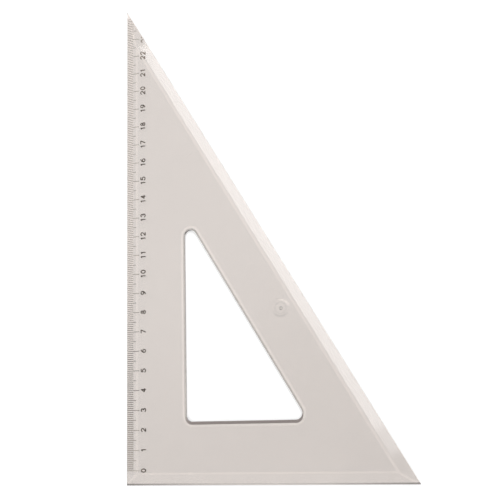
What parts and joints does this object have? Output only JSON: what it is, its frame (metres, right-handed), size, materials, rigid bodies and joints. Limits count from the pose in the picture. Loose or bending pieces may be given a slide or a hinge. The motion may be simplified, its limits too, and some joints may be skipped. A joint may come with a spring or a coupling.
{
  "type": "drafting triangle",
  "caption": "Clear 30-60-90 drafting triangle: a flat plate with bevelled edges to draw along, a window to lift it by and a centimetre scale on its long leg.",
  "frame": {"origin": "on the underside, below the middle of the hypotenuse, which is the middle of the bounding box's bottom", "axes": "+Y along the long leg towards the 30 degree tip, +X along the short leg from the right angle, +Z out of the scaled face"},
  "size_m": [0.1466, 0.254, 0.0024],
  "materials": {
    "clear_plastic": "clear colourless moulded plastic with a faint warm grey cast, polished faces, engraved scale",
    "scale_ink": "thin dark grey printing ink in the scale's lines and figures"
  },
  "bodies": {
    "root": {"plate": "clear_plastic"}
  },
  "joints": []
}
